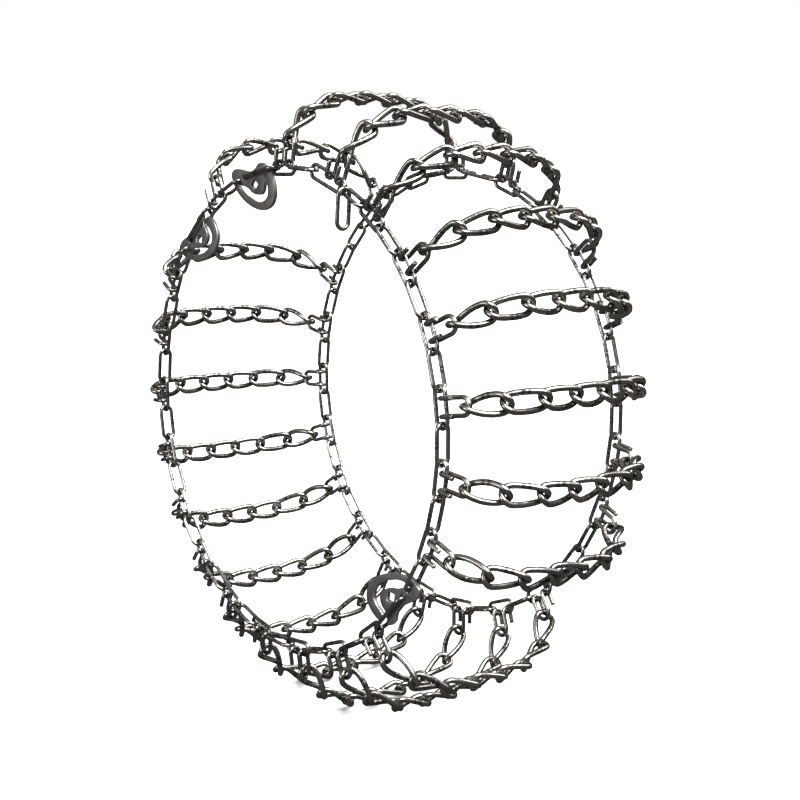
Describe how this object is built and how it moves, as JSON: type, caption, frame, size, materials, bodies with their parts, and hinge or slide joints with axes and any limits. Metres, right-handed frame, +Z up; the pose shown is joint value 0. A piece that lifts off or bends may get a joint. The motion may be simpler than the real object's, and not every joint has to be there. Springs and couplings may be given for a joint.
{
  "type": "tire snow chains",
  "caption": "Ladder-type tyre snow chain in its mounted ring shape, with twisted-link cross chains, wire hooks, two side chains and plate tension cams.",
  "frame": {"origin": "centre of the tyre that the chain is wrapped round: on the wheel's axis, halfway between the two side chains", "axes": "+Z up, Y along the wheel's axis with the outer side and its tension cams facing -Y, +X to the right when the outer side is looked at"},
  "size_m": [0.8473, 0.325, 0.8472],
  "materials": {
    "side_chain_steel": "dark drawn steel wire, satin, polished where the links rub",
    "cross_chain_steel": "dark hardened steel wire with faint scale and burnt welds",
    "hook_steel": "dark drawn steel wire with bright cut ends",
    "cam_steel": "dark pressed steel plate, satin, with bright worn edges"
  },
  "bodies": {
    "chain": {"cross_chain_01": "cross_chain_steel", "cross_chain_02": "cross_chain_steel", "cross_chain_03": "cross_chain_steel", "cross_chain_04": "cross_chain_steel", "cross_chain_05": "cross_chain_steel", "cross_chain_06": "cross_chain_steel", "cross_chain_07": "cross_chain_steel", "cross_chain_08": "cross_chain_steel", "cross_chain_09": "cross_chain_steel", "cross_chain_10": "cross_chain_steel", "cross_chain_11": "cross_chain_steel", "cross_chain_12": "cross_chain_steel", "cross_chain_13": "cross_chain_steel", "cross_chain_14": "cross_chain_steel", "cross_chain_15": "cross_chain_steel", "cross_chain_16": "cross_chain_steel", "cross_chain_17": "cross_chain_steel", "cross_chain_18": "cross_chain_steel", "cross_chain_19": "cross_chain_steel", "cross_chain_20": "cross_chain_steel", "cross_hooks_01": "hook_steel", "cross_hooks_02": "hook_steel", "cross_hooks_03": "hook_steel", "cross_hooks_04": "hook_steel", "cross_hooks_05": "hook_steel", "cross_hooks_06": "hook_steel", "cross_hooks_07": "hook_steel", "cross_hooks_08": "hook_steel", "cross_hooks_09": "hook_steel", "cross_hooks_10": "hook_steel", "cross_hooks_11": "hook_steel", "cross_hooks_12": "hook_steel", "cross_hooks_13": "hook_steel", "cross_hooks_14": "hook_steel", "cross_hooks_15": "hook_steel", "cross_hooks_16": "hook_steel", "cross_hooks_17": "hook_steel", "cross_hooks_18": "hook_steel", "cross_hooks_19": "hook_steel", "cross_hooks_20": "hook_steel", "cam_long_link_a": "side_chain_steel", "cam_long_link_b": "side_chain_steel", "cam_long_link_c": "side_chain_steel", "cam_slot_link_a": "side_chain_steel", "cam_slot_link_b": "side_chain_steel", "cam_slot_link_c": "side_chain_steel", "outer_chain_a_to_b": "side_chain_steel", "outer_chain_b_to_c": "side_chain_steel", "outer_chain_c_to_a": "side_chain_steel", "outer_long_link": "side_chain_steel", "inner_chain": "side_chain_steel", "inner_closing_hook": "hook_steel"},
    "cam_a": {"cam_plate_a": "cam_steel"},
    "cam_b": {"cam_plate_b": "cam_steel"},
    "cam_c": {"cam_plate_c": "cam_steel"},
    "loose_link": {"spare_link": "side_chain_steel"}
  },
  "joints": [
    {"name": "cam_turn_a", "type": "hinge", "parent": "chain", "child": "cam_a", "pos_m": [0.26306, -0.147, -0.17687], "axis": [0, 1, 0], "range_deg": [0, 70]},
    {"name": "cam_turn_b", "type": "hinge", "parent": "chain", "child": "cam_b", "pos_m": [-0.24462, -0.147, 0.20161], "axis": [0, 1, 0], "range_deg": [0, 70]},
    {"name": "cam_turn_c", "type": "hinge", "parent": "chain", "child": "cam_c", "pos_m": [-0.10621, -0.147, 0.29867], "axis": [0, 1, 0], "range_deg": [0, 70]},
    {"name": "loose_link_swing", "type": "hinge", "parent": "chain", "child": "loose_link", "pos_m": [0.12139, -0.1555, 0.29324], "axis": [-0.914, 0, 0.4057], "range_deg": [0, 70]}
  ]
}
